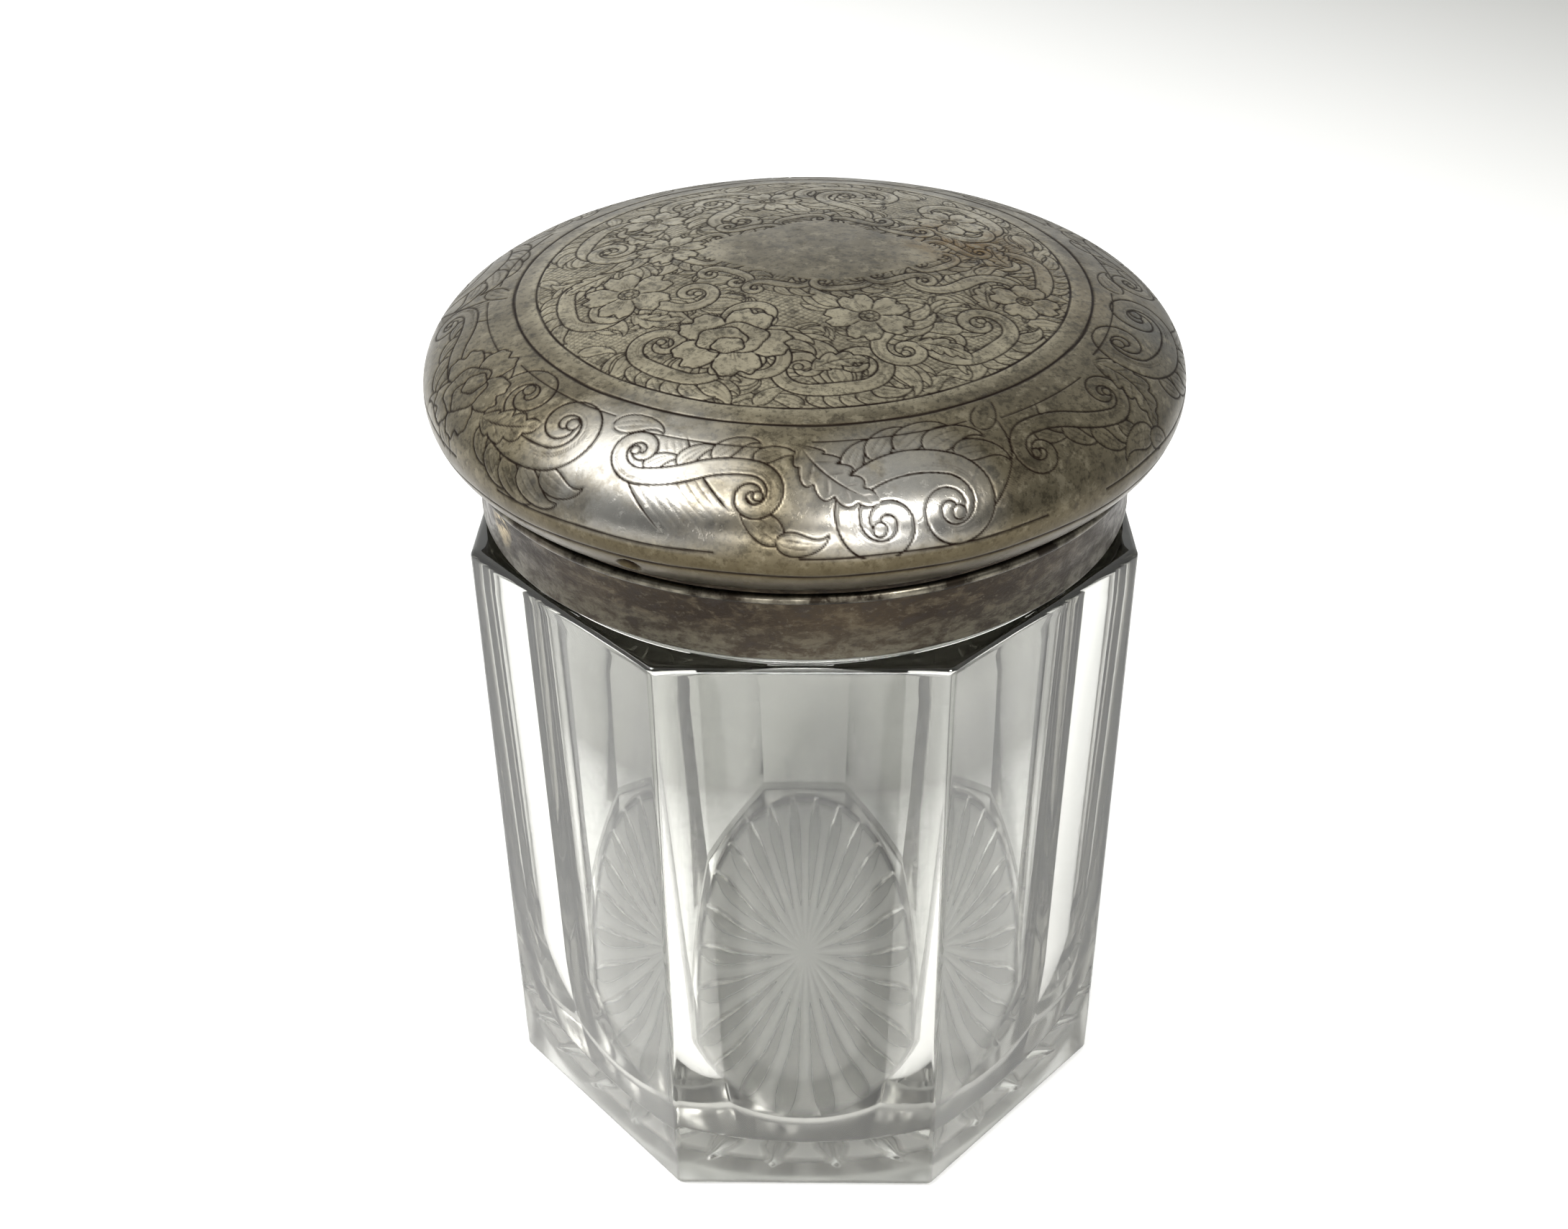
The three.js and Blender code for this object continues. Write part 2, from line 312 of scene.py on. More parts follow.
def engraved_metal():
    """Mottled silver plate: rubbed bright at the front, partly as a painted highlight, brown underneath, dark
    in its engraved lines, and painted dark as shade in its vent hole.
    """
    shade = Shader("engraved_metal")
    height = shade.axes(shade.place)[2]
    line = shade.node("ShaderNodeAttribute", {}, "Fac", attribute_name="engraving_and_vent_shade")
    clouds = shade.noise(55, 6.0, 0.6)
    patches = shade.noise(210, 5.0, 0.65)
    blots = shade.noise(520, 4.0, 0.7)
    specks = shade.fit(shade.noise(900, 3.0, 0.7), 0.57, 0.72)
    grain = shade.noise(1500, 3.0, 0.65)
    pits = shade.times(shade.fit(shade.cells(420), 0.10, 0.22, 1.0, 0.0), shade.fit(patches, 0.5, 0.62))

    # The silver: darker and paler clouds, paler where it is worked round the shield, with dark blotches
    metal = shade.tint((0.089, 0.075, 0.049), (0.156, 0.134, 0.090), shade.fit(clouds, 0.36, 0.66))
    shield = shade.near((2.0, 2.6, 113.5), 14.0, 0.4)
    worked = shade.math("SUBTRACT", shade.ramp(height, 110.55, 110.85), shield)
    metal = shade.tint(metal, (0.34, 0.305, 0.22), worked, 0.75)
    metal = shade.tint(metal, (0.070, 0.060, 0.042), shade.fit(patches, 0.42, 0.68), 0.6)
    metal = shade.tint(metal, (0.07, 0.06, 0.04), specks, 0.55)
    metal = shade.tint(metal, (0.04, 0.035, 0.03), pits, 0.7)

    # Stains on the right of the crown, and a fine mottling over all of it
    stain = shade.times(shade.near((18.5, 7.0, 112.0), 9.5, 0.7), shade.fit(patches, 0.40, 0.56))
    veil = shade.times(shade.near((24.0, 2.0, 111.0), 17.0, 0.8), shade.fit(clouds, 0.35, 0.6))
    smudge = shade.near((38.5, -6.0, 107.5), 6.0, 0.8)
    metal = shade.tint(metal, (0.125, 0.072, 0.014), stain, 0.95)
    metal = shade.tint(metal, (0.12, 0.086, 0.040), veil, 0.7)
    metal = shade.tint(metal, (0.06, 0.062, 0.06), smudge, 0.6)
    metal = shade.tint(metal, (0.030, 0.025, 0.017), shade.fit(grain, 0.50, 0.64), 0.6)
    metal = shade.tint(metal, (0.224, 0.197, 0.139), shade.fit(blots, 0.45, 0.36), 0.55)
    metal = shade.tint(metal, (0.032, 0.027, 0.018), shade.fit(blots, 0.55, 0.64), 0.6)

    # Brown under the edge, rubbed pale at the front, partly as a painted highlight, darker towards the foot,
    # and dirt in the lines
    metal = shade.tint(metal, (0.050, 0.039, 0.020), shade.ramp(height, 103.5, 100.5), 0.8)
    # Pale rubbed patches on the rolled edge, placed where the lamps' highlights fall: partly wear, partly a
    # painted highlight
    rubbed = shade.math("MAXIMUM", shade.near((-17.0, -38.0, 106.5), 14.0, 0.8),
                        shade.near((9.5, -41.5, 105.0), 12.0, 0.8))
    rubbed = shade.times(rubbed, shade.fit(patches, 0.62, 0.48, 0.35, 0.95))
    rubbed = shade.times(rubbed, shade.ramp(height, 101.5, 103.5))
    metal = shade.tint(metal, (0.36, 0.35, 0.325), rubbed)
    metal = shade.tint(metal, (0.022, 0.017, 0.010), shade.ramp(height, 97.8, 96.6), 0.75)
    # The engraved lines are dark with dirt; the vent hole, which shares their mark, is painted dark as shade
    metal = shade.tint(metal, (0.010, 0.006, 0.004), line)

    rough = shade.math("SUBTRACT", shade.fit(patches, 0.3, 0.7, 0.27, 0.42), shade.times(rubbed, 0.08))
    rough = shade.math("ADD", rough, shade.times(line, 0.3))
    rough = shade.math("ADD", rough, shade.times(specks, 0.12))
    shade.bump(shade.math("SUBTRACT", patches, shade.times(specks, 0.4)), 0.05, 0.5)
    return shade.finish(metal, rough, {"Metallic": 1.0})


def tarnished_metal():
    """Brown tarnish worn through in fine flakes that run round the band."""
    shade = Shader("tarnished_metal")
    height = shade.axes(shade.place)[2]
    flakes = shade.noise(330, 8.0, 0.7, 2.2, 0.3)
    clouds = shade.noise(70, 5.0, 0.6, 1.6)
    grain = shade.noise(1300, 3.0, 0.7, 1.5)
    foot = shade.times(shade.ramp(height, 90.5, 86.8), shade.fit(flakes, 0.42, 0.56, 0.1, 0.75))
    bare = shade.times(shade.near((-33.5, -19.0, 90.5), 3.0, 0.7), shade.fit(flakes, 0.42, 0.52))
    base = shade.tint((0.015, 0.010, 0.006), (0.031, 0.022, 0.013), shade.fit(clouds, 0.36, 0.66))
    base = shade.tint(base, (0.068, 0.054, 0.034), shade.fit(flakes, 0.50, 0.64), 0.6)
    base = shade.tint(base, (0.024, 0.019, 0.016), shade.fit(flakes, 0.45, 0.34), 0.75)
    base = shade.tint(base, (0.070, 0.064, 0.048), foot)
    base = shade.tint(base, (0.082, 0.072, 0.053), shade.fit(grain, 0.58, 0.72), 0.5)
    base = shade.tint(base, (0.02, 0.016, 0.013), shade.fit(grain, 0.44, 0.32), 0.6)
    base = shade.tint(base, (0.36, 0.29, 0.17), bare)
    shade.bump(shade.math("ADD", flakes, shade.times(grain, 0.35)), 0.12, 0.7)
    return shade.finish(base, shade.fit(flakes, 0.35, 0.6, 0.55, 0.34), {"Metallic": 0.85})


def bead_metal():
    """Dark wire with rubbed patches."""
    shade = Shader("bead_metal")
    rubs = shade.noise(260, 5.0, 0.65)
    clouds = shade.noise(60, 3.0)
    base = shade.tint((0.014, 0.011, 0.008), (0.14, 0.128, 0.10), shade.fit(rubs, 0.42, 0.62))
    base = shade.tint(base, (0.06, 0.046, 0.034), shade.fit(clouds, 0.5, 0.7), 0.7)
    shade.bump(rubs, 0.08, 0.6)
    return shade.finish(base, shade.fit(rubs, 0.35, 0.65, 0.5, 0.28), {"Metallic": 1.0})


def inner_metal():
    """Dull silver plate with a few brown spots."""
    shade = Shader("inner_metal")
    clouds = shade.noise(70, 5.0, 0.6)
    spots = shade.noise(420, 4.0, 0.65)
    base = shade.tint((0.46, 0.44, 0.38), (0.62, 0.60, 0.54), shade.fit(clouds, 0.35, 0.68))
    base = shade.tint(base, (0.09, 0.07, 0.045), shade.fit(spots, 0.58, 0.72), 0.8)
    shade.bump(spots, 0.05, 0.5)
    return shade.finish(base, shade.fit(clouds, 0.3, 0.7, 0.3, 0.46), {"Metallic": 1.0})


# ---------------------------------------------------------------- glass jar

def jar_angles():
    """Half-degree steps, and finer ones round the upright edges."""
    near_edges = np.arange(-2.0, 2.01, 0.125)
    edges = [45.0 * side + 22.5 + near_edges for side in range(8)]
    everywhere = np.concatenate([np.arange(0, 360, 0.5), *edges])
    return np.radians(np.unique(np.round(np.mod(everywhere, 360), 4)))


def octagon(angle, half_flats, corner_round):
    """Radius of an octagon with rounded corners, whose flats face along X and Y."""
    from_flat = angle % (TURN / 8)
    from_flat = np.where(from_flat > CORNER, from_flat - TURN / 8, from_flat)
    centre_reach = (half_flats - corner_round) / math.cos(CORNER)
    on_flat = half_flats / np.cos(from_flat)
    along_flat = half_flats * np.tan(np.abs(from_flat))
    flat_ends = (half_flats - corner_round) * math.tan(CORNER)
    from_corner = CORNER - np.abs(from_flat)
    inside = np.maximum(corner_round ** 2 - (centre_reach * np.sin(from_corner)) ** 2, 0)
    on_corner = centre_reach * np.cos(from_corner) + np.sqrt(inside)
    return np.where(along_flat <= flat_ends, on_flat, on_corner)


def half_flats_at(height):
    return BASE_HALF_FLATS + (TOP_HALF_FLATS - BASE_HALF_FLATS) * height / SHOULDER


def star_height(radius, angle):
    """How far the underside is hollowed upwards: 24 soft rays with rounded ends."""
    from_ray = np.abs((angle * RAYS / TURN) % 1.0 - 0.5) * TURN * radius / RAYS
    fade = math.sqrt(min(max((STAR_RADIUS - radius) / RAY_FADE, 0.0), 1.0))
    half_width = min(math.pi * radius / RAYS, RAY_HALF_WIDTH * fade)
    across = np.clip(1 - from_ray / max(half_width, 1e-6), 0, 1)
    depth = STAR_DEPTH * min(half_width / RAY_HALF_WIDTH, 1.0) * min(radius / STAR_EYE, 1.0) ** 2
    return depth * (0.5 - 0.5 * np.cos(math.pi * across))


def well_radius(height):
    draft = (WELL_TOP_RADIUS - WELL_LOW_RADIUS) / (SHOULDER - WELL_CURVE_FROM)
    below = max(0.0, WELL_CURVE_FROM - height)
    return WELL_LOW_RADIUS + draft * max(0.0, height - WELL_CURVE_FROM) - below ** 2 / (2 * WELL_CURVE_RADIUS)


def glass_rings(angle):
    """The jar's surface as rings of (radius, height): underside, sides, shoulder, neck, rim and well."""
    rings = [(r, star_height(r, angle)) for r in [AXIS, *np.arange(0.6, FOOT_INNER - 0.4, 0.4)]]
    foot = octagon(angle, BASE_HALF_FLATS, UPRIGHT_ROUND) - EDGE_ROUND
    rings += [(FOOT_INNER + (foot - FOOT_INNER) * share, 0.0) for share in (0.0, 0.3, 0.6, 0.85)]
    for up, inwards in quarter_turn(7):
        height = EDGE_ROUND * up
        rings.append((octagon(angle, half_flats_at(height) - EDGE_ROUND * inwards, UPRIGHT_ROUND), height))
    for height in np.linspace(4, SHOULDER - 4, 12):
        rings.append((octagon(angle, half_flats_at(height), UPRIGHT_ROUND), height))
    for inwards, down in quarter_turn(7):
        height = SHOULDER - SHOULDER_ROUND * down
        reach = half_flats_at(height) - SHOULDER_ROUND * inwards
        rings.append((octagon(angle, reach, UPRIGHT_ROUND), height))

    neck_foot = NECK_RADIUS + NECK_FOOT_ROUND
    outer = octagon(angle, TOP_HALF_FLATS - SHOULDER_ROUND, UPRIGHT_ROUND)
    rings.append((np.maximum((outer + neck_foot) / 2, neck_foot), SHOULDER))
    for up, outwards in quarter_turn(4):
        rings.append((NECK_RADIUS + NECK_FOOT_ROUND * outwards, SHOULDER + NECK_FOOT_ROUND * up))
    rim = GLASS_HIGH.z
    rings += [(NECK_RADIUS, height) for height in np.linspace(SHOULDER + 1, rim - EDGE_ROUND, 4)]
    for inwards, down in quarter_turn(5)[1:]:
        rings.append((NECK_RADIUS - EDGE_ROUND * inwards, rim - EDGE_ROUND * down))
    for down, outwards in quarter_turn(5):
        rings.append((MOUTH_RADIUS + EDGE_ROUND * outwards, rim - EDGE_ROUND * down))

    throat = SHOULDER - 1.0
    widening = well_radius(throat - THROAT_ROUND) - MOUTH_RADIUS
    rings += [(MOUTH_RADIUS, height) for height in np.linspace(rim - 1.5, throat, 4)]
    for down, short in quarter_turn(10)[1:]:
        rings.append((MOUTH_RADIUS + widening * (1 - short), throat - THROAT_ROUND * down))
    lean = math.atan((WELL_CURVE_FROM - WELL_FLOOR - WELL_CORNER) / WELL_CURVE_RADIUS)
    wall_foot = WELL_FLOOR + WELL_CORNER * (1 - math.sin(lean))
    straight = np.linspace(throat - 5, WELL_CURVE_FROM + 1, 10)
    curved = np.linspace(WELL_CURVE_FROM - 0.5, wall_foot + 0.2, 22)
    rings += [(well_radius(height), height) for height in [*straight, *curved]]
    floor_edge = well_radius(wall_foot) - WELL_CORNER * math.cos(lean)
    for inwards, up in quarter_turn(14, lean):
        rings.append((floor_edge + WELL_CORNER * (1 - inwards), WELL_FLOOR + WELL_CORNER * up))
    rings += [(r, WELL_FLOOR) for r in np.linspace(floor_edge - 0.5, AXIS, 16)]
    return rings


def build_glass():
    angle = jar_angles()
    rings = glass_rings(angle)
    points = np.concatenate([around(np.broadcast_to(r, angle.shape), np.broadcast_to(z, angle.shape), angle)
                             for r, z in rings])
    faces = skin_faces([len(angle)] * len(rings))
    make_piece("jar_glass", points, faces, clear_glass(), "jar", "glass_jar")


# ---------------------------------------------------------------- engraving

class Plate:
    """The unrolled lid as a grid that engraved lines are cut into.

    A place on it is (across, along): its angle is the angle on the lid, and its distance from the middle
    is the distance along the metal from the top of the dome.
    """

    def __init__(self, reach, cell):
        self.cell = cell
        self.reach = reach
        self.size = int(2 * reach / cell)
        self.depth = np.zeros((self.size, self.size), dtype=np.float32)

    def grid(self, low, high):
        lo = np.clip(((np.asarray(low) + self.reach) / self.cell).astype(int), 0, self.size - 1)
        hi = np.clip(((np.asarray(high) + self.reach) / self.cell).astype(int) + 1, 0, self.size)
        xs = (np.arange(lo[0], hi[0]) + 0.5) * self.cell - self.reach
        ys = (np.arange(lo[1], hi[1]) + 0.5) * self.cell - self.reach
        return slice(lo[0], hi[0]), slice(lo[1], hi[1]), *np.meshgrid(xs, ys, indexing="ij")

    def clear(self, outline):
        """Wipes the inside of a closed outline, so that the next shape lies in front of the last."""
        rows, columns, xs, ys = self.grid(outline.min(0), outline.max(0))
        inside = np.zeros(xs.shape, dtype=bool)
        for (x0, y0), (x1, y1) in zip(outline, np.roll(outline, -1, 0)):
            if y0 == y1:
                continue
            crosses = (ys > min(y0, y1)) & (ys <= max(y0, y1))
            inside ^= crosses & (xs < x0 + (ys - y0) * (x1 - x0) / (y1 - y0))
        self.depth[rows, columns][inside] = 0

    def cut(self, line, width, depth=1.0, taper=0.3):
        """Cuts one stroke that swells from pointed ends."""
        steps = np.linalg.norm(np.diff(line, axis=0), axis=1)
        along = np.concatenate([[0], np.cumsum(steps)])
        count = max(3, int(along[-1] / (self.cell * 0.8)))
        at = np.linspace(0, along[-1], count)
        xs = np.interp(at, along, line[:, 0])
        ys = np.interp(at, along, line[:, 1])
        share = at / max(along[-1], 1e-6)
        ends = np.clip(np.minimum(share, 1 - share) / max(taper, 1e-3), 0.25, 1) if taper else np.ones(count)
        half = 0.5 * width * ends
        soft = self.cell * 0.9
        reach = int(math.ceil((width / 2 + soft) / self.cell))
        offsets = np.arange(-reach, reach + 1)
        ix = ((xs + self.reach) / self.cell).astype(int)
        iy = ((ys + self.reach) / self.cell).astype(int)
        for dx in offsets:
            for dy in offsets:
                cx, cy = ix + dx, iy + dy
                away = np.hypot((cx + 0.5) * self.cell - self.reach - xs,
                                (cy + 0.5) * self.cell - self.reach - ys)
                value = depth * np.clip((half + soft - away) / (2 * soft), 0, 1)
                keep = (value > 0) & (cx >= 0) & (cy >= 0) & (cx < self.size) & (cy < self.size)
                np.maximum.at(self.depth, (cx[keep], cy[keep]), value[keep].astype(np.float32))

    def read(self, across, along):
        u = np.clip((across + self.reach) / self.cell - 0.5, 0, self.size - 1.001)
        v = np.clip((along + self.reach) / self.cell - 0.5, 0, self.size - 1.001)
        i, j = u.astype(int), v.astype(int)
        fu, fv = u - i, v - j
        d = self.depth
        return ((d[i, j] * (1 - fu) + d[i + 1, j] * fu) * (1 - fv)
                + (d[i, j + 1] * (1 - fu) + d[i + 1, j + 1] * fu) * fv)


def polar(distance, degrees):
    """A place on the plate; 0 degrees is at the front and grows towards +X."""
    angle = np.radians(degrees)
    return np.stack([distance * np.sin(angle), -distance * np.cos(angle)], -1)


def walk(start, heading, bends, steps):
    """A line that turns by each bend, in radians, before each step."""
    headings = heading + np.cumsum(bends)
    moves = np.asarray(steps).reshape(-1, 1) * heading_of(headings)
    return np.asarray(start) + np.concatenate([[[0, 0]], np.cumsum(moves, 0)])


def heading_of(angle):
    """A step of length 1 in a direction, or in each of many."""
    return np.stack([np.cos(angle), np.sin(angle)], -1)


def offset_line(line, distance):
    ahead = np.gradient(line, axis=0)
    ahead /= np.maximum(np.linalg.norm(ahead, axis=1, keepdims=True), 1e-9)
    return line + np.stack([-ahead[:, 1], ahead[:, 0]], 1) * np.asarray(distance).reshape(-1, 1)


def half_scroll(start, heading, hand, arc_length, arc_radius, curl, turns):
    """From the middle of a scroll outwards: an open arc, then a spiral that tightens to its eye."""
    arc_steps = 24
    spiral_steps = int(40 * turns)
    share = np.linspace(0, 1, spiral_steps)
    radius = curl * 0.2 ** share
    turn = TURN * turns / spiral_steps
    step = arc_length / arc_steps
    bends = np.concatenate([np.full(arc_steps, step / arc_radius), np.full(spiral_steps, turn)])
    steps = np.concatenate([np.full(arc_steps, step), radius * turn])
    return walk(start, heading, hand * bends, steps)


def scroll(plate, middle, heading, arc_length, arc_radius, curl, hand, shape, width, lobes, turns, line):
    """A band that curls up at both ends: both to the same side in a C, to opposite sides in an S."""
    ahead = half_scroll(middle, heading, hand, arc_length / 2, arc_radius, curl, turns)
    back_hand = -hand if shape == "C" else hand
    behind = half_scroll(middle, heading + math.pi, back_hand, arc_length / 2, arc_radius, curl, turns)
    spine = np.concatenate([behind[:0:-1], ahead])
    count = len(spine)
    share = np.abs(np.linspace(-1, 1, count))
    band = width * (1 - 0.72 * share ** 1.6) / 2
    left, right = offset_line(spine, band), offset_line(spine, -band)
    outer, reach = (right, -1) if hand > 0 else (left, 1)
    for k in range(lobes):
        at = int(count * (0.30 + 0.40 * (k + 0.5) / lobes))
        along = spine[at + 1] - spine[at]
        lean = math.atan2(along[1], along[0]) + reach * 0.75
        lobe(plate, outer[at], lean, width * (2.3 - 0.25 * abs(k - lobes / 2)), -reach, line)
    plate.clear(np.concatenate([left, right[::-1]]))
    plate.cut(left, line, taper=0.02)
    plate.cut(right, line, taper=0.02)
    circle = heading_of(even_angles(20))
    for eye in (spine[0], spine[-1]):
        plate.clear(eye + 0.26 * width * circle)
        plate.cut(eye + 0.26 * width * circle, line * 0.9, taper=0)
    for depth, first, last in ((0.45, 0.22, 0.46), (0.2, 0.26, 0.42), (0.45, 0.56, 0.80), (0.2, 0.60, 0.74)):
        part = slice(int(count * first), int(count * last))
        plate.cut(offset_line(spine[part], -reach * band[part] * depth), line * 0.45, 0.6)


def lobe(plate, start, heading, size, hand, line):
    """A comma-shaped leaf lobe with a curled tip and two veins."""
    count = 40
    share = np.linspace(0, 1, count + 1)
    bends = hand * (0.012 + 0.11 * share[1:] ** 3)
    spine = walk(start, heading, bends, np.full(count, size * 1.2 / count))
    swell = size * 0.27 * np.sin(math.pi * share ** 0.62) * (1 - 0.35 * share)
    left, right = offset_line(spine, swell), offset_line(spine, -swell)
    plate.clear(np.concatenate([left, right[::-1]]))
    plate.cut(left, line * 0.85, taper=0.05)
    plate.cut(right, line * 0.85, taper=0.05)
    for reach in (-0.3, 0.3):
        plate.cut(offset_line(spine[3:26], swell[3:26] * reach), line * 0.45, 0.65)


def leaf(plate, start, heading, length, width, bend, teeth, line):
    """An acanthus leaf: a bent spine, lobed edges and a vein into each lobe."""
    count = 96
    share = np.linspace(0, 1, count + 1)
    spine = walk(start, heading, np.full(count, bend / count), np.full(count, length / count))
    body = np.sin(math.pi * share ** 0.75) ** 0.8 * (1 - 0.15 * share)
    saw = (share * teeth) % 1.0
    lobed = body * (0.62 + 0.38 * np.sin(math.pi * saw) ** 0.7)
    lobed[[0, -1]] = 0
    left = offset_line(spine, width * 0.5 * lobed)
    right = offset_line(spine, -width * 0.5 * lobed)
    lean = np.stack([np.gradient(spine[:, 0]), np.gradient(spine[:, 1])], 1)
    lean /= np.linalg.norm(lean, axis=1, keepdims=True)
    push = (0.3 * length / teeth * np.sin(math.pi * saw) * body).reshape(-1, 1)
    left, right = left + lean * push, right + lean * push
    plate.clear(np.concatenate([left, right[::-1]]))
    plate.cut(left, line, taper=0.1)
    plate.cut(right, line, taper=0.1)
    plate.cut(spine[: int(count * 0.92)], line * 0.9)
    for k in range(teeth):
        at = int(count * (k + 0.15) / teeth)
        tip = min(int(count * (k + 0.62) / teeth), count)
        for edge in (left, right):
            for reach in (0.62, 0.8):
                target = spine[tip] + (edge[tip] - spine[tip]) * reach
                vein = np.linspace(spine[at], target, 8)
                plate.cut(vein, line * 0.5, 0.7)


def blossom(plate, centre, radius, petals, turn, notch, line):
    """A round flower with notched petals, radial strokes and a ring of small seeds."""
    centre = np.asarray(centre)
    angle = even_angles(240)
    wave = np.abs(np.sin(petals * angle / 2)) ** 0.55
    dent = notch * np.exp(-((((petals * angle / TURN) % 1.0) - 0.5) / 0.10) ** 2)
    reach = radius * (0.55 + 0.45 * wave - dent)
    ruffle = 1 + 0.025 * np.sin(angle * petals * 5 + turn)
    outline = centre + (reach * ruffle).reshape(-1, 1) * heading_of(angle + turn)
    plate.clear(outline)
    plate.cut(np.concatenate([outline, outline[:2]]), line, taper=0)
    for k in range(petals):
        seam = turn + TURN * k / petals
        outwards = radius * heading_of(seam)
        plate.cut(np.linspace(centre + outwards * 0.24, centre + outwards * 0.56, 8), line)
        for spread in (-0.26, -0.13, 0.0, 0.13, 0.26):
            outwards = radius * heading_of(seam + math.pi / petals + spread * 5 / petals)
            far = 0.52 + 0.1 * math.cos(spread * 12)
            plate.cut(np.linspace(centre + outwards * 0.27, centre + outwards * far, 8), line * 0.5, 0.65)
    circle = radius * heading_of(even_angles(28))
    plate.clear(centre + 0.22 * circle)
    plate.cut(centre + 0.22 * circle, line * 0.9, taper=0)
    plate.cut(centre + 0.10 * circle, line * 0.7, taper=0)
    seeds = 7
    for k in range(seeds):
        seed = centre + radius * 0.16 * heading_of(TURN * k / seeds)
        plate.cut(seed + 0.035 * circle, line * 0.5, taper=0)


def rose(plate, centre, radius, turn, line):
    """A large open bloom: ruffled outer petals round a closed bud."""
    centre = np.asarray(centre)
    blossom(plate, centre, radius, 5, turn, 0.14, line)
    angle = even_angles(160)
    squash = np.array([1.0, 0.82])
    for scale, shift, phase in ((0.52, 0.10, 0.4), (0.40, 0.16, 2.2), (0.26, 0.12, 3.9)):
        ruffle = (1 + 0.07 * np.sin(angle * 5 + phase)).reshape(-1, 1)
        middle = centre + radius * shift * heading_of(turn + phase)
        outline = middle + radius * scale * ruffle * heading_of(angle) * squash
        plate.clear(outline)
        plate.cut(np.concatenate([outline, outline[:2]]), line, taper=0)
        for k in range(9):
            outwards = radius * scale * heading_of(phase + 0.22 * k) * squash
            plate.cut(np.linspace(middle + outwards * 0.95, middle + outwards * 0.66, 6), line * 0.45, 0.7)


def hatch(plate, outer):
    """Two crossing sets of fine lines inside a circle."""
    spacing, width, depth = 0.56, 0.12, 0.5
    _, _, xs, ys = plate.grid((-plate.reach,) * 2, (plate.reach,) * 2)
    wander = 0.1 * np.sin(xs * 0.9) + 0.1 * np.cos(ys * 0.8)
    lines = np.zeros(xs.shape)
    for slope in (0.55, -0.75):
        across = xs * math.sin(slope) + ys * math.cos(slope) + wander
        away = np.abs((across / spacing) % 1.0 - 0.5) * spacing
        lines = np.maximum(lines, np.clip((width / 2 + 0.05 - away) / 0.1, 0, 1))
    inside = np.hypot(xs, ys) < outer
    plate.depth = np.where(inside, np.maximum(plate.depth, depth * lines), plate.depth).astype(np.float32)


def ring_line(plate, distance, width, start=0.0, end=360.0, wobble=0.03):
    angle = np.linspace(start, end, max(8, int(abs(end - start) * 2)))
    reach = distance + wobble * np.sin(np.radians(angle) * 7) + wobble * np.sin(np.radians(angle) * 17 + 1)
    plate.cut(polar(reach, angle), width, taper=0)


# Cartouche: the blank shield in the middle of the dome
SHIELD_CENTRE = np.array([2.0, 2.6])
SHIELD_REACH = np.array([12.6, 8.6])

# Circles round the dome, as distances from its top along the metal
INNER_CIRCLE = 30.2
OUTER_CIRCLE = 32.8
BORDER_FROM = 33.6
BORDER_TO = 48.0
BROKEN_CIRCLE = 47.6
FOOT_CIRCLE = 49.9


def shield_outline(grow=0.0):
    angle = even_angles(240)
    waist = 1 + 0.10 * np.cos(4 * angle) + 0.05 * np.cos(2 * angle + 0.6) + 0.03 * np.sin(5 * angle)
    return SHIELD_CENTRE + waist.reshape(-1, 1) * (SHIELD_REACH + grow) * heading_of(angle)


